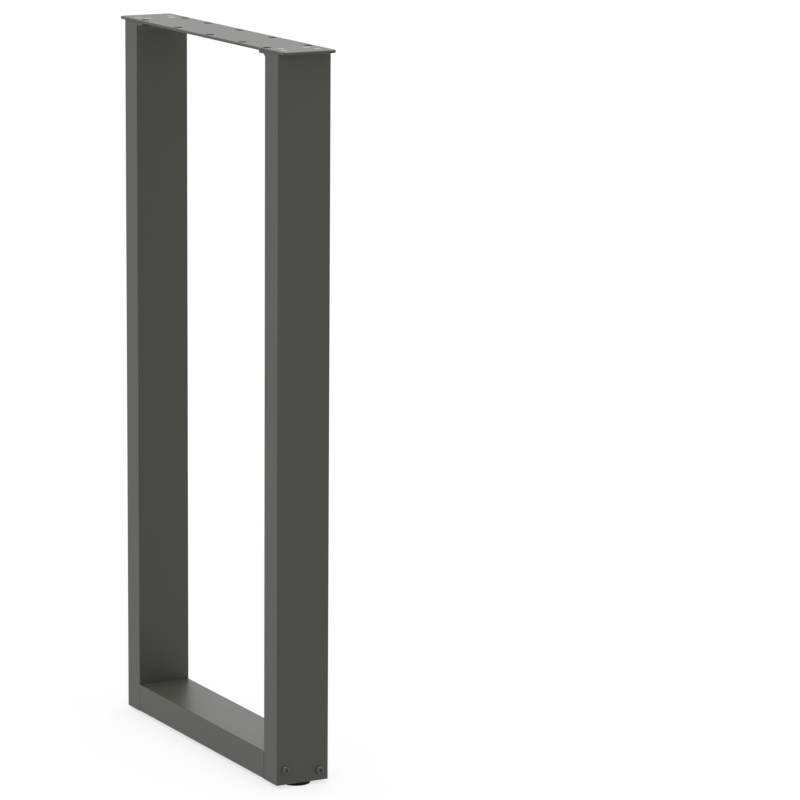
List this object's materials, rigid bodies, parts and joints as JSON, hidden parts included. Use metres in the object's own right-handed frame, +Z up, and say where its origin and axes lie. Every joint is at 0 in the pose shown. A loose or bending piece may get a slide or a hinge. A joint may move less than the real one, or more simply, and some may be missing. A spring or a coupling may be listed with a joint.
{
  "type": "steel table leg",
  "caption": "Rectangular knock-down table leg frame of steel tube with a drilled top plate, a bolted bottom bar and levelling feet.",
  "frame": {"origin": "on the floor, midway between the two feet", "axes": "+X across the leg from the left post to the right post, +Y along the wide side of the tube, +Z up"},
  "size_m": [0.386, 0.06, 0.7675],
  "materials": {
    "powder_coat": "satin, fine textured powder coat",
    "bolt_steel": "dark grey, semi-gloss",
    "zinc_steel": "bright zinc plate",
    "bare_steel": "bare rolled steel",
    "black_plastic": "black, finely textured"
  },
  "bodies": {
    "frame": {"top_plate": "powder_coat", "bottom_bar": "powder_coat", "left_post": "powder_coat", "left_head_plate": "powder_coat", "left_head_weld": "powder_coat", "left_head_nuts": "zinc_steel", "left_plate_screws": "zinc_steel", "left_bar_end_plate": "bare_steel", "left_spacer_sleeves": "zinc_steel", "left_bar_bolts": "bolt_steel", "left_bottom_plate": "powder_coat", "left_foot_nut": "zinc_steel", "right_post": "powder_coat", "right_head_plate": "powder_coat", "right_head_weld": "powder_coat", "right_head_nuts": "zinc_steel", "right_plate_screws": "zinc_steel", "right_bar_end_plate": "bare_steel", "right_spacer_sleeves": "zinc_steel", "right_bar_bolts": "bolt_steel", "right_bottom_plate": "powder_coat", "right_foot_nut": "zinc_steel"},
    "left_foot": {"left_foot_stud": "zinc_steel", "left_foot_pad": "black_plastic"},
    "right_foot": {"right_foot_stud": "zinc_steel", "right_foot_pad": "black_plastic"}
  },
  "joints": [
    {"name": "left_foot_height", "type": "slide", "parent": "frame", "child": "left_foot", "axis": [0, 0, -1], "range_m": [0, 0.012]},
    {"name": "right_foot_height", "type": "slide", "parent": "frame", "child": "right_foot", "axis": [0, 0, -1], "range_m": [0, 0.012]}
  ]
}
